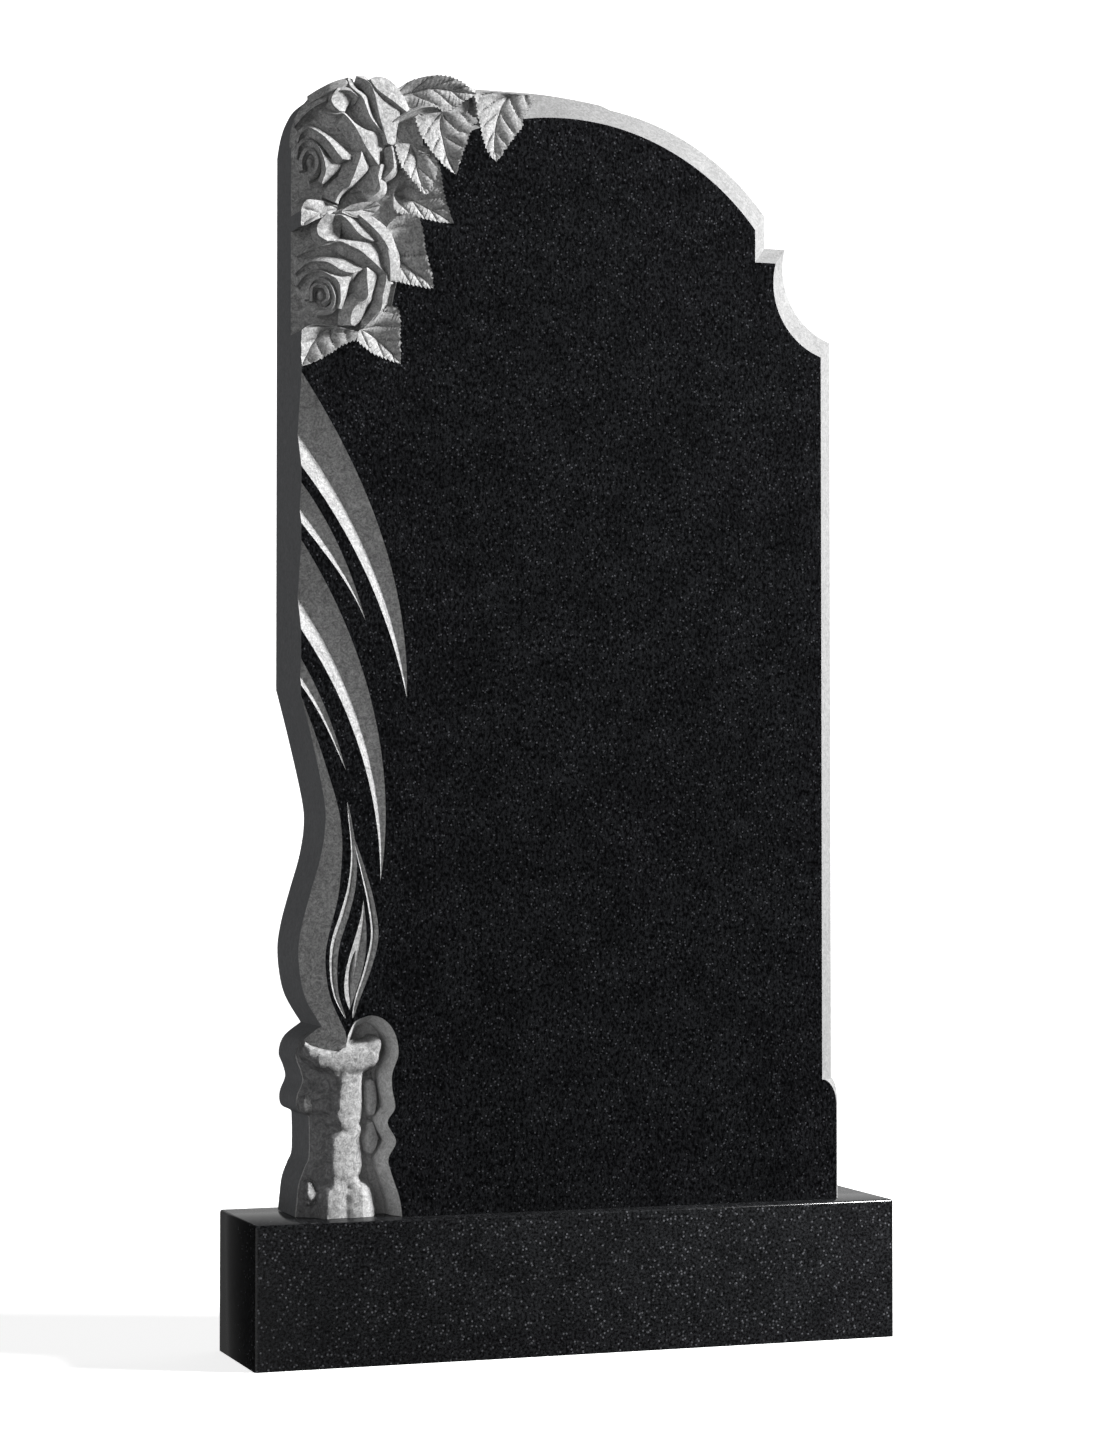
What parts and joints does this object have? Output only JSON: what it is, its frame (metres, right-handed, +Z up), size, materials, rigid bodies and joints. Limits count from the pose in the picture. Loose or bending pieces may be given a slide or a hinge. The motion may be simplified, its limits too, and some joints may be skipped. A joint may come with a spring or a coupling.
{
  "type": "headstone",
  "caption": "Upright granite headstone: arched slab with a stopped chamfer, carved with roses, leaves, flowing grooves and a burning candle, on a plain block plinth.",
  "frame": {"origin": "centre of the plinth's underside, on the ground", "axes": "+X to the right seen from the front, +Y towards the back, +Z up"},
  "size_m": [0.7, 0.15, 1.3217],
  "materials": {
    "slab_granite": "polished",
    "plinth_granite": "polished"
  },
  "bodies": {
    "root": {"slab": "slab_granite", "plinth": "plinth_granite"}
  },
  "joints": []
}
